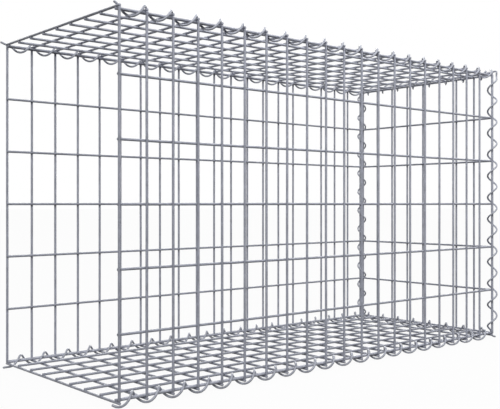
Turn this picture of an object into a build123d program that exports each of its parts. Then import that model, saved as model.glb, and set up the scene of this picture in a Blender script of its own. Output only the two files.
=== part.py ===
from build123d import *
import os
from math import cos, hypot, pi, radians, sin, sqrt

# An empty gabion basket bay of welded wire mesh: front, back, right end, lid and base panels,
# bound along their edges by spiral binders. The left end is open, to take the next bay.
# Lengths are in millimetres and angles in degrees. X runs along the wall, Y to its rear and Z up,
# and while the pieces are placed, zero is at the front panel's lower left crossing.

# Basket, measured between the outer wires of its meshes
basket_length = 1000.0
basket_depth = 400.0
basket_height = 600.0

# Mesh wires, welded where they cross
upright_spacing = 50.0
rail_spacing = 100.0
cross_spacing = 50.0
flat_rail_spacing = 50.0
wire_diameter = 4.5
wire_sides = 6
weld_set_down = 0.45
rail_overrun = 1.0
seat_gap = 0.3

# Spiral binders, wound round the edge wires of two panels
binder_diameter = 4.0
binder_sides = 4
binder_steps = 8
turns_per_mesh = 1
turns_per_rail_mesh = 2

# Angle at which a lid binder's line stands above the wire that it bears on
lid_binder_lean = 20.0
lid_end_lean = 32.0

# Ends of the binders at the open end: straight tails, or a short overrun of the spiral
lid_front_tail = 6.0
lid_front_tail_rise = 5.0
lid_back_tail = 11.0
lid_back_tail_rise = 2.0
base_back_tail = 12.0
base_back_tail_rise = 0.0
base_front_overrun = 6.0

# Ends of the binders at the right-hand corners, where they pass clear of each other
lid_end_inset = 6.0
base_end_inset = 18.0
far_end_inset = 6.0
front_corner_foot = -8.0
front_corner_head = -8.0
back_corner_foot = -5.0
back_corner_head = 1.0

# Hook at the head of the front corner binder, which is bent back over the end panel
hook_height = 9.5
hook_tail = 41.0
hook_drop = 2.5

# Angle of turn above a rail at which a corner binder points outward to the right
front_corner_turn = 302.0
back_corner_turn = 54.0

# Angle from the top or bottom of a turn at which a straight tail leaves the spiral
lid_tail_turn = 40.0
base_tail_turn = 25.0
quarter_turn = 90.0
full_turn = 360.0

half_share = 0.5
diagonal_share = sqrt(half_share)


def corner_radius(diameter, sides):
    """Corner radius of a polygon with the area of a round wire."""
    return diameter / 2 * sqrt(2 * pi / (sides * sin(2 * pi / sides)))


# A wire's reach at its corners and at its flats
wire_reach = corner_radius(wire_diameter, wire_sides)
wire_flat = wire_reach * cos(pi / wire_sides)
binder_reach = corner_radius(binder_diameter, binder_sides)

# Distances between wires: welded across each other, seated corner to flat, and corner to cut end
layer_step = wire_diameter - weld_set_down
seat_step = wire_reach + seat_gap + wire_flat
butt_step = wire_reach + seat_gap + rail_overrun

# Planes of the panels' wires
front_upright_y = 0.0
front_rail_y = front_upright_y + layer_step
back_rail_y = front_rail_y + basket_depth
back_upright_y = back_rail_y + layer_step
end_rail_x = basket_length + butt_step
end_upright_x = end_rail_x + layer_step
lid_cross_z = basket_height + seat_step
lid_rail_z = lid_cross_z - layer_step
base_cross_z = -seat_step
base_rail_z = base_cross_z + layer_step

# A binder just goes round the two uprights of a corner, so its line runs this far from the wire
# that it bears on. Each turn is a polygon whose flats clear that wire.
binder_hold = hypot(end_upright_x - basket_length, layer_step) * half_share
binder_flat_radius = binder_hold + wire_reach + seat_gap + binder_reach
binder_corner_radius = binder_flat_radius / cos(pi / binder_steps)


def places(start, length, spacing):
    """Evenly spaced places over a length, both ends included."""
    bays = round(length / spacing)
    return [start + length * bay / bays for bay in range(bays + 1)]


upright_places = places(0, basket_length, upright_spacing)
rail_places = places(0, basket_height, rail_spacing)
cross_places = places(0, basket_length, cross_spacing)
end_upright_places = places(front_rail_y, basket_depth, upright_spacing)

# A binder keeps step with the mesh that it binds
long_pitch = (upright_places[1] - upright_places[0]) / turns_per_mesh
end_pitch = (end_upright_places[1] - end_upright_places[0]) / turns_per_mesh
corner_pitch = (rail_places[1] - rail_places[0]) / turns_per_rail_mesh

# The lid's and base's outer rails lie beside the walls' rails, and the others keep the spacing
flat_rail_places = places(front_rail_y, basket_depth, flat_rail_spacing)
flat_rail_places[0] = front_rail_y + seat_step
flat_rail_places[-1] = back_rail_y - seat_step


def wire(start, end, facing):
    """A straight wire from start to end, with a corner line turned to the facing direction."""
    run = Vector(*end) - Vector(*start)
    section = Plane(origin=start, x_dir=facing, z_dir=run) * RegularPolygon(wire_reach, wire_sides)
    return extrude(section, run.length)


def welded(wires):
    """One mesh panel, its wires fused where they cross."""
    return wires[0].fuse(*wires[1:])


def long_wall(upright_y, rail_y):
    """The front or back panel, with uprights on the outside and rails on the inside."""
    foot = -wire_flat
    head = basket_height + wire_flat
    left = -rail_overrun
    right = basket_length + rail_overrun
    uprights = [wire((x, upright_y, foot), (x, upright_y, head), (0, 1, 0)) for x in upright_places]
    rails = [wire((left, rail_y, z), (right, rail_y, z), (0, 1, 0)) for z in rail_places]
    return welded(uprights + rails)


def end_wall():
    """The right end panel, set against the cut ends of the long walls' rails."""
    foot = -wire_flat
    head = basket_height + wire_flat
    near = front_rail_y - rail_overrun
    far = back_rail_y + rail_overrun
    x = end_upright_x
    uprights = [wire((x, y, foot), (x, y, head), (1, 0, 0)) for y in end_upright_places]
    rails = [wire((end_rail_x, near, z), (end_rail_x, far, z), (1, 0, 0)) for z in rail_places]
    return welded(uprights + rails)


def flat_panel(cross_z, rail_z):
    """The lid or base, with cross wires on the outside and rails on the inside."""
    near = front_upright_y - wire_flat
    far = back_upright_y + wire_flat
    left = -rail_overrun
    right = basket_length + rail_overrun
    crosses = [wire((x, near, cross_z), (x, far, cross_z), (0, 0, 1)) for x in cross_places]
    rails = [wire((left, y, rail_z), (right, y, rail_z), (0, 0, 1)) for y in flat_rail_places]
    return welded(crosses + rails)


def spiral(origin, along, zero, pitch, turn):
    """A rule for the corners of a spiral about the line through origin along a direction.

    Corner 0 stands level with the origin, in the zero direction. A turn of 1 winds a right-hand
    spiral and -1 a left-hand one. A corner may be pulled to another distance along the line.
    """
    axis = Vector(*along)
    zero_side = Vector(*zero)
    quarter_side = axis.cross(zero_side)

    def corner(count, distance=None):
        angle = turn * 2 * pi * count / binder_steps
        outward = zero_side * cos(angle) + quarter_side * sin(angle)
        reach = pitch * count / binder_steps if distance is None else distance
        return Vector(*origin) + axis * reach + outward * binder_corner_radius

    return corner


def binder(points):
    """A spiral binder of wire, in straight runs between points."""
    section = Plane(origin=points[0], z_dir=points[1] - points[0])
    profile = section * RegularPolygon(binder_reach, binder_sides)
    return sweep(profile, path=Polyline(*points), transition=Transition.RIGHT)


def step_count(distance, pitch):
    """The whole number of spiral steps nearest to a distance."""
    return round(binder_steps * distance / pitch)


def plain_binder(y, z, zero, overrun):
    """A binder along the wall, whose spiral overruns the open end."""
    corner = spiral((0, y, z), (1, 0, 0), zero, long_pitch, left_hand)
    first = step_count(-overrun, long_pitch)
    last = step_count(basket_length, long_pitch)
    return binder([corner(count) for count in range(first, last + 1)])


def tailed_binder(y, z, zero, tail, rise, tail_turn):
    """A binder along the wall, with a straight tail that may rise past the open end."""
    corner = spiral((0, y, z), (1, 0, 0), zero, long_pitch, left_hand)
    bend = binder_steps * tail_turn / full_turn
    first = round(binder_steps * quarter_turn / full_turn)
    last = step_count(basket_length, long_pitch)
    turns = [corner(count) for count in range(first, last + 1)]
    tip = corner(bend, -tail) + Vector(0, 0, rise)
    return binder([tip, corner(bend)] + turns)


def end_binder(x, z, zero, turn, inset):
    """A binder across the right end, from the front to the back."""
    corner = spiral((x, front_rail_y, z), (0, 1, 0), zero, end_pitch, turn)
    first = step_count(inset, end_pitch)
    last = step_count(basket_depth - far_end_inset, end_pitch)
    return binder([corner(count) for count in range(first, last + 1)])


def corner_turns(y, outward_turn, turn, foot, head):
    """The points of a binder up a right-hand corner."""
    z = corner_pitch * outward_turn / full_turn
    corner = spiral((corner_binder_x, y, z), (0, 0, 1), outward_right, corner_pitch, turn)
    first = step_count(foot - z, corner_pitch)
    last = step_count(basket_height + head - z, corner_pitch)
    return [corner(count) for count in range(first, last + 1)]


def hooked(points):
    """A corner binder's points, with its head led up and bent back over the end panel."""
    head = points[-1]
    bend = Vector(head.X, head.Y, basket_height + hook_height)
    return points + [bend, bend + Vector(0, hook_tail, -hook_drop)]


# Binder lines. The lid's and base's bear on an edge rail, the base end's on the last cross wire,
# and a corner's runs midway between its two uprights.
lid_binder_in = binder_hold * cos(radians(lid_binder_lean))
lid_binder_z = lid_rail_z + binder_hold * sin(radians(lid_binder_lean))
lid_end_x = end_rail_x - binder_hold * cos(radians(lid_end_lean))
lid_end_z = basket_height + binder_hold * sin(radians(lid_end_lean))
base_end_x = basket_length + sqrt(binder_hold**2 - layer_step**2)
corner_binder_x = (basket_length + end_upright_x) * half_share
front_corner_y = (front_upright_y + end_upright_places[0]) * half_share
back_corner_y = (back_upright_y + end_upright_places[-1]) * half_share
near_rail_y = flat_rail_places[0]
far_rail_y = flat_rail_places[-1]

upward = (0, 0, 1)
downward = (0, 0, -1)
outward_right = (diagonal_share, -diagonal_share, 0)
left_hand = -1
right_hand = 1

pieces = {
    "front_panel": long_wall(front_upright_y, front_rail_y),
    "back_panel": long_wall(back_upright_y, back_rail_y),
    "end_panel": end_wall(),
    "lid_panel": flat_panel(lid_cross_z, lid_rail_z),
    "base_panel": flat_panel(base_cross_z, base_rail_z),
    "lid_front_binder": tailed_binder(
        near_rail_y - lid_binder_in,
        lid_binder_z,
        upward,
        lid_front_tail,
        lid_front_tail_rise,
        lid_tail_turn,
    ),
    "lid_back_binder": tailed_binder(
        far_rail_y + lid_binder_in,
        lid_binder_z,
        upward,
        lid_back_tail,
        lid_back_tail_rise,
        lid_tail_turn,
    ),
    "lid_end_binder": end_binder(lid_end_x, lid_end_z, upward, left_hand, lid_end_inset),
    "base_front_binder": plain_binder(
        near_rail_y - binder_hold, base_rail_z, downward, base_front_overrun
    ),
    "base_back_binder": tailed_binder(
        far_rail_y + binder_hold,
        base_rail_z,
        downward,
        base_back_tail,
        base_back_tail_rise,
        base_tail_turn,
    ),
    "base_end_binder": end_binder(base_end_x, base_rail_z, downward, right_hand, base_end_inset),
    "front_corner_binder": binder(
        hooked(
            corner_turns(
                front_corner_y, front_corner_turn, right_hand, front_corner_foot, front_corner_head
            )
        )
    ),
    "back_corner_binder": binder(
        corner_turns(
            back_corner_y, back_corner_turn, left_hand, back_corner_foot, back_corner_head
        )
    ),
}

# The part's origin is under the middle of its box, at the level it stands on
box = Compound(list(pieces.values())).bounding_box()
origin_shift = Vector(-box.center().X, -box.center().Y, -box.min.Z)

os.makedirs("parts", exist_ok=True)
for name, piece in pieces.items():
    export_step(Pos(origin_shift) * piece, f"parts/{name}.step")
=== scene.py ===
"""An empty gabion basket bay of galvanised welded wire mesh, bound at its edges by wire spirals.

Places are worked out in millimetres from the front panel's lower left crossing, with X along the
wall, Y to its rear and Z up, and are moved into the part's frame when a mesh is made.
"""

import math
import random

import bpy
import numpy as np
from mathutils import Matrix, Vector


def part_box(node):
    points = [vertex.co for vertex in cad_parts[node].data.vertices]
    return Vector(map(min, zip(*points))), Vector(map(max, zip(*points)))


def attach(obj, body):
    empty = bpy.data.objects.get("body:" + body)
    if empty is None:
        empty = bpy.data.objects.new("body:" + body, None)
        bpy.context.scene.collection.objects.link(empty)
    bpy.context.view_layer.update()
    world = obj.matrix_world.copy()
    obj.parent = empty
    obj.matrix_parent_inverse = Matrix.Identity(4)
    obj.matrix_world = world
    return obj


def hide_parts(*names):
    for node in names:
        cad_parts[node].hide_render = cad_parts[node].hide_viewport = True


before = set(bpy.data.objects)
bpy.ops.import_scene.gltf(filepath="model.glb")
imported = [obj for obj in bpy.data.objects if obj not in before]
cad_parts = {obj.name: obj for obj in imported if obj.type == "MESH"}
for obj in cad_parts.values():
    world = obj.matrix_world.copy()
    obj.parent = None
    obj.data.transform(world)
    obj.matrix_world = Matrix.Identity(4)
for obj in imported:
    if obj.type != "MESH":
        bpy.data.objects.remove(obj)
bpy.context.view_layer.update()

SEED = 4751
random.seed(SEED)
noise = np.random.default_rng(SEED)

MM = 0.001

# Directions. A coil's first side is square to OBLIQUE, which no wire follows.
ALONG = (1, 0, 0)
REARWARD = (0, 1, 0)
UP = (0, 0, 1)
DOWN = (0, 0, -1)
RIGHTWARD = (math.sqrt(0.5), -math.sqrt(0.5), 0)
OBLIQUE = (0.31, 0.53, 0.79)

# Basket and mesh. Wires sink into each other by SET_DOWN at a weld, and rails overrun the last
# crossing, by more at the open end of the lid and base.
LENGTH = 1000.0
DEPTH = 400.0
HEIGHT = 600.0
MESH = 50.0
RAIL_MESH = 100.0
WIRE = 4.5
SET_DOWN = 0.45
OVERRUN = 1.0
FLAT_OVERRUN = 2.5
SEAT_GAP = 0.3
WIRE_SIDES = 14

# Cut ends of all wires: a bevel, and the share of the radius that is left at the tip
CUT_BEVEL = 0.5
CUT_SHARE = 0.72

# A mesh wire is duller within WELD_REACH of a weld, and bows sideways in a few waves
WELD_REACH = 7.0
WELD_CORE = 2.6
BOW = 0.22
BOW_WAVES = (0.7, 2.2)

# The collar of metal at a weld, in shares of the wire's radius
NUGGET_ROWS = (-0.8, -0.3, 0.3, 0.8)
NUGGET_SIDES = 10
NUGGET_WIDTH = (0.98, 1.12)
NUGGET_HEIGHT = (0.55, 0.7)
NUGGET_LUMPS = 0.09

# Binders
BINDER = 4.0
PITCH = 50.0
BINDER_SIDES = 12
STEPS_PER_TURN = 28
RIGHT_HAND = 1
LEFT_HAND = -1

# The lines of the lid's binders stand at these angles above the wires that they bear on
LID_LEAN = math.radians(20)
LID_END_LEAN = math.radians(32)

# Straight tails at the open end: length, rise, and the turn in degrees at which they leave the spiral
LID_FRONT_TAIL = (2.0, 6.0, 60.0)
LID_BACK_TAIL = (11.0, 8.0, 95.0)
BASE_BACK_TAIL = (12.0, 0.0, 25.0)
TAIL_SHARES = (0, 0.3, 0.6, 0.85)
TAIL_JOINT = 0.02

# First and last turn of the binders without a tail
BASE_FRONT_TURNS = (-0.125, 19.82)
LID_END_TURNS = (0.125, 7.875)
BASE_END_TURNS = (0.375, 7.875)

# Corner binders: the turn in degrees above a rail at which they point outward to the right, and
# where their spirals begin and end, from the lowest and the highest rail
FRONT_CORNER_TURN = 302.0
FRONT_CORNER_FOOT = 7.9
FRONT_CORNER_HEAD = -8.0
BACK_CORNER_TURN = 54.0
BACK_CORNER_FOOT = -5.0
BACK_CORNER_HEAD = 1.0

# Bent ends of the front corner binder: its head over the end panel, and its foot below it
HOOK_HEIGHT = 9.5
HOOK_TAIL = 41.0
HOOK_DROP = 2.5
HOOK_BEND = 4.0
HOOK_SHARES = (0.25, 0.5, 0.75, 1)
BEND_LEAD = 2.5
FOOT_BEND = (1012.0, 9.0, -8.0)
FOOT_TIP = (1012.0, -1.5, -9.5)

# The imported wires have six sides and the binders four, with the area of a round wire, and the
# packed binders have eight straight runs to a turn
CAD_WIRE_SIDES = 6
CAD_BINDER_SIDES = 4
CAD_RUNS_PER_TURN = 8


def corner_radius(diameter, sides):
    """Corner radius of a polygon with the area of a round wire."""
    return diameter / 2 * math.sqrt(math.tau / (sides * math.sin(math.tau / sides)))


wire_reach = corner_radius(WIRE, CAD_WIRE_SIDES)
wire_flat = wire_reach * math.cos(math.pi / CAD_WIRE_SIDES)
binder_reach = corner_radius(BINDER, CAD_BINDER_SIDES)
layer_step = WIRE - SET_DOWN
seat_step = WIRE
butt_step = wire_reach + SEAT_GAP + OVERRUN

front_rail_y = layer_step
back_rail_y = front_rail_y + DEPTH
back_upright_y = back_rail_y + layer_step
end_rail_x = LENGTH + butt_step
end_upright_x = end_rail_x + layer_step
lid_cross_z = HEIGHT + seat_step
lid_rail_z = lid_cross_z - layer_step
base_cross_z = -seat_step
base_rail_z = base_cross_z + layer_step

# A binder's line and radius, taken midway between the corners and flats of its packed turns
binder_hold = math.hypot(end_upright_x - LENGTH, layer_step) / 2
binder_flat_radius = binder_hold + wire_reach + SEAT_GAP + binder_reach
binder_corner_radius = binder_flat_radius / math.cos(math.pi / CAD_RUNS_PER_TURN)
binder_radius = (binder_flat_radius + binder_corner_radius) / 2

# The front panel's lowest corner ties these places to the part's frame
panel_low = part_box("front_panel")[0]
SHIFT = np.array(panel_low) + np.array([wire_flat, wire_reach, wire_flat]) * MM


def places(start, length, spacing):
    """Evenly spaced places over a length, both ends included."""
    bays = round(length / spacing)
    return [start + length * bay / bays for bay in range(bays + 1)]


upright_x = places(0, LENGTH, MESH)
rail_z = places(0, HEIGHT, RAIL_MESH)
end_upright_y = places(front_rail_y, DEPTH, MESH)
flat_rail_y = places(front_rail_y, DEPTH, MESH)
flat_rail_y[0] = front_rail_y + seat_step
flat_rail_y[-1] = back_rail_y - seat_step


class Shape:
    """Vertices, faces and a weld value for each vertex, gathered into one mesh."""

    def __init__(self):
        self.points = []
        self.faces = []
        self.welds = []
        self.count = 0

    def rings(self, rings, welds):
        """Adds rings of points, joined into a tube with capped ends."""
        count, sides = rings.shape[:2]
        faces = []
        for ring in range(count - 1):
            low = ring * sides
            for side in range(sides):
                turn = (side + 1) % sides
                faces.append((low + side, low + turn, low + sides + turn, low + sides + side))
        faces.append(tuple(reversed(range(sides))))
        faces.append(tuple(range((count - 1) * sides, count * sides)))
        self.points.append(rings.reshape(-1, 3))
        self.faces.extend([tuple(index + self.count for index in face) for face in faces])
        self.welds.append(np.repeat(welds, sides))
        self.count += count * sides

    def make(self, name, node, slot, material):
        """Makes the piece that stands for a node, smooth but for its caps."""
        mesh = bpy.data.meshes.new(name)
        points = np.concatenate(self.points) * MM + SHIFT
        mesh.from_pydata(points.tolist(), [], self.faces)
        mesh.update()
        mesh.polygons.foreach_set("use_smooth", [len(face) == 4 for face in self.faces])
        weld = mesh.attributes.new("weld", "FLOAT", "POINT")
        weld.data.foreach_set("value", np.concatenate(self.welds).astype(np.float32))
        mesh.materials.append(material)
        piece = bpy.data.objects.new(name, mesh)
        bpy.context.scene.collection.objects.link(piece)
        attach(piece, "root")
        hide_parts(node)


def circle(sides, side, other):
    """Unit directions round a wire, from one side towards another."""
    angles = np.arange(sides) * math.tau / sides
    return np.cos(angles)[:, None] * side + np.sin(angles)[:, None] * other


def mesh_wire(shape, start, end, bow_side, crossings):
    """A straight drawn wire with cut ends, slightly bowed, duller where other wires are welded to it."""
    start = np.array(start, float)
    end = np.array(end, float)
    run = end - start
    length = np.linalg.norm(run)
    along = run / length
    side = np.array(bow_side, float)
    other = np.cross(along, side)
    stops = {0.0, CUT_BEVEL, length - CUT_BEVEL, length}
    for crossing in crossings:
        for offset in (-WELD_REACH, -WELD_CORE, 0.0, WELD_CORE, WELD_REACH):
            stop = crossing + offset
            if CUT_BEVEL < stop < length - CUT_BEVEL:
                stops.add(stop)
    stops = np.array(sorted(stops))
    nearest = np.min(np.abs(stops[:, None] - np.array(crossings)[None, :]), axis=1)
    welds = np.clip(1 - nearest / WELD_REACH, 0, 1)
    bow = BOW * random.uniform(-1, 1)
    phase = random.uniform(0, math.tau)
    waves = random.uniform(*BOW_WAVES)
    sway = bow * (np.sin(math.tau * waves * stops / length + phase) - math.sin(phase))
    centres = start + stops[:, None] * along + sway[:, None] * side
    radii = np.full(len(stops), WIRE / 2)
    radii[0] = radii[-1] = WIRE / 2 * CUT_SHARE
    around = circle(WIRE_SIDES, side, other)
    shape.rings(centres[:, None, :] + radii[:, None, None] * around[None, :, :], welds)


def nugget(shape, centre, across, normal):
    """The small collar of metal squeezed out at a weld."""
    across = np.array(across, float)
    normal = np.array(normal, float)
    other = np.cross(normal, across)
    wide = WIRE / 2 * random.uniform(*NUGGET_WIDTH)
    tall = WIRE / 2 * random.uniform(*NUGGET_HEIGHT)
    spin = random.uniform(0, math.tau)
    angles = spin + np.arange(NUGGET_SIDES) * math.tau / NUGGET_SIDES
    rows = []
    for row in NUGGET_ROWS:
        radius = wide * math.sqrt(1 - row * row)
        lumps = radius * (1 + NUGGET_LUMPS * noise.standard_normal(NUGGET_SIDES))
        ring = np.array(centre) + normal * row * tall
        ring = ring + (np.cos(angles) * lumps)[:, None] * across
        ring = ring + (np.sin(angles) * lumps)[:, None] * other
        rows.append(ring)
    shape.rings(np.array(rows), np.ones(len(NUGGET_ROWS)))


def wall(upright_y, rail_y, uprights, left, right, lengthwise):
    """A wall panel, along the length or across the right end, with uprights outside and rails inside."""
    shape = Shape()
    foot = -wire_flat
    head = HEIGHT + wire_flat
    rail_start = left - OVERRUN
    rail_end = right + OVERRUN
    weld_y = (upright_y + rail_y) / 2

    def at(along, across, height):
        return (along, across, height) if lengthwise else (across, along, height)

    sideways = at(1, 0, 0)
    outward = at(0, 1, 0)
    upright_crossings = [z - foot for z in rail_z]
    rail_crossings = [place - rail_start for place in uprights]
    for place in uprights:
        ends = at(place, upright_y, foot), at(place, upright_y, head)
        mesh_wire(shape, *ends, sideways, upright_crossings)
    for z in rail_z:
        ends = at(rail_start, rail_y, z), at(rail_end, rail_y, z)
        mesh_wire(shape, *ends, UP, rail_crossings)
    for place in uprights:
        for z in rail_z:
            nugget(shape, at(place, weld_y, z), sideways, outward)
    return shape


def flat(cross_z, rail_level):
    """The lid or base panel, with cross wires outside and rails inside."""
    shape = Shape()
    near = -wire_flat
    far = back_upright_y + wire_flat
    left = -FLAT_OVERRUN
    right = LENGTH + OVERRUN
    weld_z = (cross_z + rail_level) / 2
    cross_crossings = [y - near for y in flat_rail_y]
    rail_crossings = [x - left for x in upright_x]
    for x in upright_x:
        mesh_wire(shape, (x, near, cross_z), (x, far, cross_z), ALONG, cross_crossings)
    for y in flat_rail_y:
        mesh_wire(shape, (left, y, rail_level), (right, y, rail_level), REARWARD, rail_crossings)
    for x in upright_x:
        for y in flat_rail_y:
            nugget(shape, (x, y, weld_z), ALONG, UP)
    return shape


def spiral_point(origin, along, zero, turn, count, distance=None):
    """A point of a spiral, count turns on from its start in the zero direction."""
    axis = np.array(along, float)
    zero_side = np.array(zero, float)
    quarter = np.cross(axis, zero_side)
    angle = turn * math.tau * count
    outward = zero_side * math.cos(angle) + quarter * math.sin(angle)
    reach = PITCH * count if distance is None else distance
    return np.array(origin, float) + axis * reach + outward * binder_radius


def coil(points):
    """A round wire along a path of points, with cut ends."""
    points = np.array(points)
    tangents = np.gradient(points, axis=0)
    tangents /= np.linalg.norm(tangents, axis=1)[:, None]
    side = np.cross(tangents[0], OBLIQUE)
    rings = []
    last = len(points) - 1
    for index, (point, tangent) in enumerate(zip(points, tangents)):
        side = side - tangent * np.dot(side, tangent)
        side /= np.linalg.norm(side)
        around = circle(BINDER_SIDES, side, np.cross(tangent, side)) * BINDER / 2
        if index == 0:
            rings.extend([point + around * CUT_SHARE, point + tangent * CUT_BEVEL + around])
        elif index == last:
            rings.extend([point - tangent * CUT_BEVEL + around, point + around * CUT_SHARE])
        else:
            rings.append(point + around)
    shape = Shape()
    shape.rings(np.array(rings), np.zeros(len(rings)))
    return shape


def turns(first, last):
    """Evenly spaced counts of turns from first to last."""
    steps = max(2, round((last - first) * STEPS_PER_TURN))
    return [first + (last - first) * step / steps for step in range(steps + 1)]


def spun(origin, along, zero, turn, first, last):
    """The path of a spiral from one count of turns to another."""
    return [spiral_point(origin, along, zero, turn, count) for count in turns(first, last)]


def tailed_coil(y, z, zero, tail, rise, tail_turn):
    """A coil along the wall that ends in a straight tail past the open end."""
    origin = (0, y, z)
    bend = tail_turn / 360
    joint = spiral_point(origin, ALONG, zero, LEFT_HAND, bend)
    tip = spiral_point(origin, ALONG, zero, LEFT_HAND, bend, -tail) + np.array([0, 0, rise])
    straight = [tip + (joint - tip) * share for share in TAIL_SHARES]
    return coil(straight + spun(origin, ALONG, zero, LEFT_HAND, bend + TAIL_JOINT, LENGTH / PITCH))


def end_coil(x, z, zero, turn, first, last):
    """A coil across the right end, from the front to the back."""
    return coil(spun((x, front_rail_y, z), REARWARD, zero, turn, first, last))


def corner_turns(y, outward_turn, turn, foot, head):
    """The path of a coil up a right-hand corner."""
    z = PITCH * outward_turn / 360
    return spun((corner_x, y, z), UP, RIGHTWARD, turn, (foot - z) / PITCH, (HEIGHT + head - z) / PITCH)


def arc(start, corner, end):
    """Points on a smooth bend from start to end, led by the corner between them."""
    shares = np.linspace(0.1, 1, 10)
    return [start * (1 - t) ** 2 + corner * 2 * t * (1 - t) + end * t**2 for t in shares]


def hooked(path, bend, tip, rise):
    """A corner coil's path, led on past its last turn, up or down, and bent to a tip."""
    head = path[-1]
    lead = head + (head - path[-2]) * BEND_LEAD
    bend = np.array(bend)
    tip = np.array(tip)
    before = bend - np.array([0, 0, HOOK_BEND * rise])
    beyond = bend + (tip - bend) * HOOK_BEND / np.linalg.norm(tip - bend)
    straight = [beyond + (tip - beyond) * share for share in HOOK_SHARES]
    return path + arc(head, lead, before) + arc(before, bend, beyond) + straight


def front_corner_path():
    """The front corner coil's path, its head bent back over the end panel and its foot forward below it."""
    path = corner_turns(
        front_corner_y, FRONT_CORNER_TURN, RIGHT_HAND, FRONT_CORNER_FOOT, FRONT_CORNER_HEAD
    )
    x, y = path[-1][:2]
    top = HEIGHT + HOOK_HEIGHT
    path = hooked(path, (x, y, top), (x, y + HOOK_TAIL, top - HOOK_DROP), 1)
    return hooked(path[::-1], FOOT_BEND, FOOT_TIP, -1)


# Zinc coat. Each pattern has a scale, a detail and a roughness, and tones are shares of the colour.
MESH_COLOUR = (0.53, 0.55, 0.64)
BINDER_COLOUR = (0.56, 0.58, 0.66)
MESH_ROUGHNESS = 0.24
BINDER_ROUGHNESS = 0.22
METALLIC = 0.03
SPECULAR = 0.14
CLOUDS = (60, 3, 0.55)
CLOUD_TONES = ((0.32, 0.86), (0.55, 1.0), (0.72, 1.12))
SPECKS = (900, 2, 0.6)
SPECK_TONES = ((0.36, 0.72), (0.5, 1.0))
BURNS = (260, 2, 0.5)
WELD_TONE = 0.65
GLOSS = (140, 3, 0.6)
GLOSS_STEPS = ((0.3, -0.08), (0.7, 0.1))
GRAIN = (1400, 3, 0.6)
GRAIN_STRENGTH = 0.25
GRAIN_DEPTH = 0.0002

# Sockets of Blender's mix node for colours
MIX_FIRST = 6
MIX_SECOND = 7
MIX_RESULT = 2


def grey(value):
    return (value, value, value, 1.0)


def galvanised(name, colour, roughness):
    """Zinc-coated wire: cloudy blue-grey, with a fine grain, dull specks and duller welds."""
    material = bpy.data.materials.new(name)
    material.use_nodes = True
    nodes = material.node_tree.nodes
    links = material.node_tree.links
    shader = nodes["Principled BSDF"]
    shader.inputs["Metallic"].default_value = METALLIC
    shader.inputs["Specular IOR Level"].default_value = SPECULAR

    place = nodes.new("ShaderNodeTexCoord").outputs["Object"]

    def speckle(scale, detail, rough):
        node = nodes.new("ShaderNodeTexNoise")
        node.inputs["Scale"].default_value = scale
        node.inputs["Detail"].default_value = detail
        node.inputs["Roughness"].default_value = rough
        links.new(place, node.inputs["Vector"])
        return node.outputs["Fac"]

    def ramp(value, stops):
        node = nodes.new("ShaderNodeValToRGB")
        elements = node.color_ramp.elements
        while len(elements) < len(stops):
            elements.new(0.5)
        for element, (position, tone) in zip(elements, stops):
            element.position = position
            element.color = tone
        links.new(value, node.inputs["Fac"])
        return node.outputs["Color"]

    def shade(share):
        return tuple(channel * share for channel in colour) + (1.0,)

    def mix(factor, first, second, blend="MIX"):
        node = nodes.new("ShaderNodeMix")
        node.data_type = "RGBA"
        node.blend_type = blend
        sockets = (node.inputs["Factor"], node.inputs[MIX_FIRST], node.inputs[MIX_SECOND])
        for value, socket in zip((factor, first, second), sockets):
            if isinstance(value, (float, tuple)):
                socket.default_value = value
            else:
                links.new(value, socket)
        return node.outputs[MIX_RESULT]

    clouds = ramp(speckle(*CLOUDS), [(position, shade(tone)) for position, tone in CLOUD_TONES])
    specks = ramp(speckle(*SPECKS), [(position, grey(tone)) for position, tone in SPECK_TONES])
    coat = mix(1.0, clouds, specks, "MULTIPLY")
    weld = nodes.new("ShaderNodeAttribute")
    weld.attribute_name = "weld"
    burn = nodes.new("ShaderNodeMath")
    burn.operation = "MULTIPLY"
    links.new(weld.outputs["Fac"], burn.inputs[0])
    links.new(speckle(*BURNS), burn.inputs[1])
    links.new(mix(burn.outputs[0], coat, shade(WELD_TONE)), shader.inputs["Base Color"])
    gloss_stops = [(position, grey(roughness + step)) for position, step in GLOSS_STEPS]
    links.new(ramp(speckle(*GLOSS), gloss_stops), shader.inputs["Roughness"])

    bump = nodes.new("ShaderNodeBump")
    bump.inputs["Strength"].default_value = GRAIN_STRENGTH
    bump.inputs["Distance"].default_value = GRAIN_DEPTH
    links.new(speckle(*GRAIN), bump.inputs["Height"])
    links.new(bump.outputs["Normal"], shader.inputs["Normal"])
    return material


# The binders' lines
lid_in = binder_hold * math.cos(LID_LEAN)
lid_z = lid_rail_z + binder_hold * math.sin(LID_LEAN)
lid_end_x = end_rail_x - binder_hold * math.cos(LID_END_LEAN)
lid_end_z = HEIGHT + binder_hold * math.sin(LID_END_LEAN)
base_end_x = LENGTH + math.sqrt(binder_hold**2 - layer_step**2)
base_front_line = (0, flat_rail_y[0] - binder_hold, base_rail_z)
corner_x = (LENGTH + end_upright_x) / 2
front_corner_y = front_rail_y / 2
back_corner_y = (back_upright_y + back_rail_y) / 2

mesh_zinc = galvanised("mesh_zinc", MESH_COLOUR, MESH_ROUGHNESS)
binder_zinc = galvanised("binder_zinc", BINDER_COLOUR, BINDER_ROUGHNESS)

panels = {
    "front": wall(0.0, front_rail_y, upright_x, 0, LENGTH, True),
    "back": wall(back_upright_y, back_rail_y, upright_x, 0, LENGTH, True),
    "end": wall(end_upright_x, end_rail_x, end_upright_y, front_rail_y, back_rail_y, False),
    "lid": flat(lid_cross_z, lid_rail_z),
    "base": flat(base_cross_z, base_rail_z),
}
for name, shape in panels.items():
    shape.make(f"{name}_mesh", f"{name}_panel", "mesh_wire", mesh_zinc)

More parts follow.
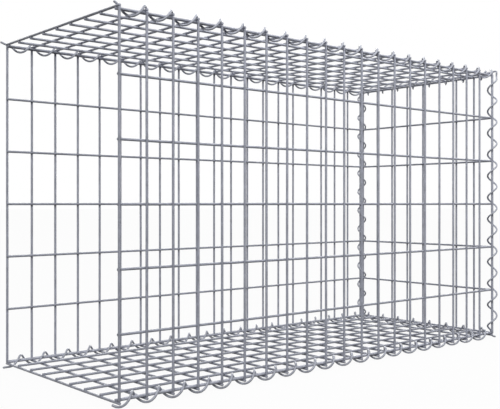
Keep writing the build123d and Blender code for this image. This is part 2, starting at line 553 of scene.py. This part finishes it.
binders = {
    "lid_front": tailed_coil(flat_rail_y[0] - lid_in, lid_z, UP, *LID_FRONT_TAIL),
    "lid_back": tailed_coil(flat_rail_y[-1] + lid_in, lid_z, UP, *LID_BACK_TAIL),
    "lid_end": end_coil(lid_end_x, lid_end_z, UP, LEFT_HAND, *LID_END_TURNS),
    "base_front": coil(spun(base_front_line, ALONG, DOWN, LEFT_HAND, *BASE_FRONT_TURNS)),
    "base_back": tailed_coil(flat_rail_y[-1] + binder_hold, base_rail_z, DOWN, *BASE_BACK_TAIL),
    "base_end": end_coil(base_end_x, base_rail_z, DOWN, RIGHT_HAND, *BASE_END_TURNS),
    "front_corner": coil(front_corner_path()),
    "back_corner": coil(
        corner_turns(back_corner_y, BACK_CORNER_TURN, LEFT_HAND, BACK_CORNER_FOOT, BACK_CORNER_HEAD)
    ),
}
for name, shape in binders.items():
    shape.make(f"{name}_spiral", f"{name}_binder", "binder_wire", binder_zinc)


def seen_directly(tree):
    """1 where the camera, a reflection or a refraction looks, and 0 for the light that is bounced."""
    path = tree.nodes.new("ShaderNodeLightPath")
    seen = path.outputs["Is Camera Ray"]
    for name in ("Is Glossy Ray", "Is Transmission Ray"):
        either = tree.nodes.new("ShaderNodeMath")
        either.operation = "MAXIMUM"
        tree.links.new(seen, either.inputs[0])
        tree.links.new(path.outputs[name], either.inputs[1])
        seen = either.outputs[0]
    return seen


def mixed(tree, factor, first, second):
    """A mix of two shaders by a number or by a socket."""
    mix = tree.nodes.new("ShaderNodeMixShader")
    if isinstance(factor, float):
        mix.inputs["Fac"].default_value = factor
    else:
        tree.links.new(factor, mix.inputs["Fac"])
    tree.links.new(first.outputs[0], mix.inputs[1])
    tree.links.new(second.outputs[0], mix.inputs[2])
    return mix


# Surroundings. What is seen of the world and the floor is white, and they add little light.
FILL_COLOUR = (0.92, 0.95, 1.0, 1.0)
FILL_STRENGTH = 0.01
FLOOR_HALF = 40.0
FLOOR_PALE = 0.9
FLOOR_DULL = 0.01
FLOOR_GLOW = 0.95

scene = bpy.context.scene
scene.view_settings.view_transform = "Standard"

world = bpy.data.worlds.new("studio")
scene.world = world
world.use_nodes = True
tree = world.node_tree
fill = tree.nodes["Background"]
fill.inputs["Color"].default_value = FILL_COLOUR
fill.inputs["Strength"].default_value = FILL_STRENGTH
white = tree.nodes.new("ShaderNodeBackground")
white.inputs["Color"].default_value = grey(1.0)
surface = mixed(tree, seen_directly(tree), fill, white)
tree.links.new(surface.outputs[0], tree.nodes["World Output"].inputs["Surface"])

floor_mesh = bpy.data.meshes.new("floor")
floor_corners = [(-1, -1, 0), (1, -1, 0), (1, 1, 0), (-1, 1, 0)]
floor_mesh.from_pydata((np.array(floor_corners) * FLOOR_HALF).tolist(), [], [(0, 1, 2, 3)])
floor = bpy.data.objects.new("floor", floor_mesh)
scene.collection.objects.link(floor)
floor_white = bpy.data.materials.new("floor_white")
floor_white.use_nodes = True
tree = floor_white.node_tree
tree.nodes.remove(tree.nodes["Principled BSDF"])
pale = tree.nodes.new("ShaderNodeBsdfDiffuse")
pale.inputs["Color"].default_value = grey(FLOOR_PALE)
dull = tree.nodes.new("ShaderNodeBsdfDiffuse")
dull.inputs["Color"].default_value = grey(FLOOR_DULL)
glow = tree.nodes.new("ShaderNodeEmission")
surface = mixed(tree, seen_directly(tree), dull, mixed(tree, FLOOR_GLOW, pale, glow))
tree.links.new(surface.outputs[0], tree.nodes["Material Output"].inputs["Surface"])
floor_mesh.materials.append(floor_white)

# Lamps: two wide suns, given by the direction that they shine from and their strength, and a strip
# above the front edge, given by its place, target, width, height and power
SUN_ANGLE = 60
FRONT_SUN = ((-0.647, -0.762, 0.75), 1.7)
REAR_SUN = ((0.6, 0.8, 0.35), 2.2)
STRIP = ((500, -550, 1150), (500, 0, 450), 1500, 300, 5)


def lamp(name, kind, power, facing):
    """A lamp of a kind that shines away from a direction."""
    data = bpy.data.lights.new(name, kind)
    data.energy = power
    light = bpy.data.objects.new(name, data)
    light.rotation_euler = Vector(facing).to_track_quat("Z", "Y").to_euler()
    scene.collection.objects.link(light)
    return light


def soft_sun(name, direction, strength):
    """An even light from a direction, as soft as a panel of the suns' angle."""
    light = lamp(name, "SUN", strength, direction)
    light.data.angle = math.radians(SUN_ANGLE)


def soft_box(name, place, target, wide, tall, power):
    """A lit panel at a place, turned to a target."""
    light = lamp(name, "AREA", power, Vector(place) - Vector(target))
    light.data.shape = "RECTANGLE"
    light.data.size = wide * MM
    light.data.size_y = tall * MM
    light.location = Vector(np.array(place) * MM + SHIFT)
    light.visible_camera = False


soft_sun("front_light", *FRONT_SUN)
soft_sun("rear_light", *REAR_SUN)
soft_box("strip_light", *STRIP)

# Camera, fitted to the photograph's wire crossings
CAMERA_PLACE = (-649.18, -1072.58, 301.22)
CAMERA_HEADING = 40.343
CAMERA_LENS = 58.376
CAMERA_SHIFT = -0.00213
CAMERA_SENSOR = 36.0
CAMERA_REACH = 100.0

camera_data = bpy.data.cameras.new("camera")
camera = bpy.data.objects.new("camera", camera_data)
scene.collection.objects.link(camera)
scene.camera = camera
camera_data.sensor_width = CAMERA_SENSOR
camera_data.lens = CAMERA_LENS
camera_data.shift_y = CAMERA_SHIFT
camera_data.clip_end = CAMERA_REACH
camera.location = Vector(np.array(CAMERA_PLACE) * MM + SHIFT)
camera.rotation_euler = (math.radians(90), 0, -math.radians(CAMERA_HEADING))
